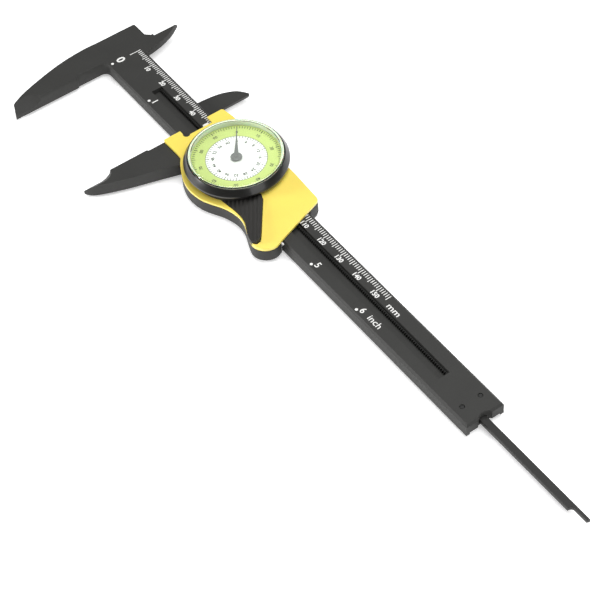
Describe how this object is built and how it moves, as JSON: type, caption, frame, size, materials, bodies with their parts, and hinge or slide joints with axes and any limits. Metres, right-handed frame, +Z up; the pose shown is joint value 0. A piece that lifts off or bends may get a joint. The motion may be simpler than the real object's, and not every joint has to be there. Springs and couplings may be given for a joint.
{
  "type": "dial caliper",
  "caption": "Moulded plastic dial caliper: graduated beam with jaws, slider with geared dial, turning bezel and depth rod.",
  "frame": {"origin": "on the fixed outside jaw's measuring face, halfway through the jaw's thickness, 28 mm below the beam's centre line", "axes": "+X along the beam towards the depth rod, +Y across it towards the inside jaws, +Z up from the back towards the dial"},
  "size_m": [0.2743, 0.0739, 0.0143],
  "materials": {
    "black_plastic": "fine moulded grain",
    "yellow_plastic": "satin",
    "bezel_plastic": "glossy",
    "clear_plastic": "clear, polished",
    "dial_print": "printed",
    "white_plastic": "smooth",
    "grey_plastic": "smooth",
    "brass": "machined",
    "steel": "machined"
  },
  "bodies": {
    "beam_body": {"beam": "black_plastic", "rack": "black_plastic", "end_plate": "black_plastic", "end_rivet_1": "steel", "end_rivet_2": "steel"},
    "slider_body": {"slider_base": "black_plastic", "cover": "yellow_plastic", "cover_screw_1": "steel", "cover_screw_2": "steel", "cover_screw_3": "steel", "cover_screw_4": "steel", "dial_housing": "black_plastic", "scale_index": "white_plastic", "gib": "white_plastic", "depth_rod": "grey_plastic", "rod_pin_1": "steel", "rod_pin_2": "steel", "movement_plate": "brass", "pointer_bush": "brass", "pinion_bush": "brass", "bezel_spring": "steel"},
    "bezel_body": {"bezel_ring": "bezel_plastic", "dial_face": "dial_print", "lens": "clear_plastic"},
    "pinion_body": {"rack_pinion": "steel", "transfer_gear": "brass"},
    "pointer_body": {"pointer": "grey_plastic", "pointer_shaft": "steel", "pointer_gear": "brass"}
  },
  "joints": [
    {"name": "slider_slide", "type": "slide", "parent": "beam_body", "child": "slider_body", "axis": [1, 0, 0], "range_m": [-0.048, 0.1019]},
    {"name": "bezel_turn", "type": "hinge", "parent": "slider_body", "child": "bezel_body", "pos_m": [0.0759, 0.028, 0.0066], "axis": [0, 0, 1], "continuous": true},
    {"name": "pinion_spin", "type": "hinge", "parent": "slider_body", "child": "pinion_body", "pos_m": [0.0833, 0.02731, 0.0045], "axis": [0, 0, 1], "range_deg": [-1840, 3902]},
    {"name": "pointer_spin", "type": "hinge", "parent": "slider_body", "child": "pointer_body", "pos_m": [0.0759, 0.028, 0.0045], "axis": [0, 0, 1], "range_deg": [-1446, 682]}
  ],
  "couplings": [
    {"joint": "pinion_spin", "follows": "slider_slide", "rad_per_m": 667.9},
    {"joint": "pointer_spin", "follows": "slider_slide", "rad_per_m": -247.37}
  ]
}
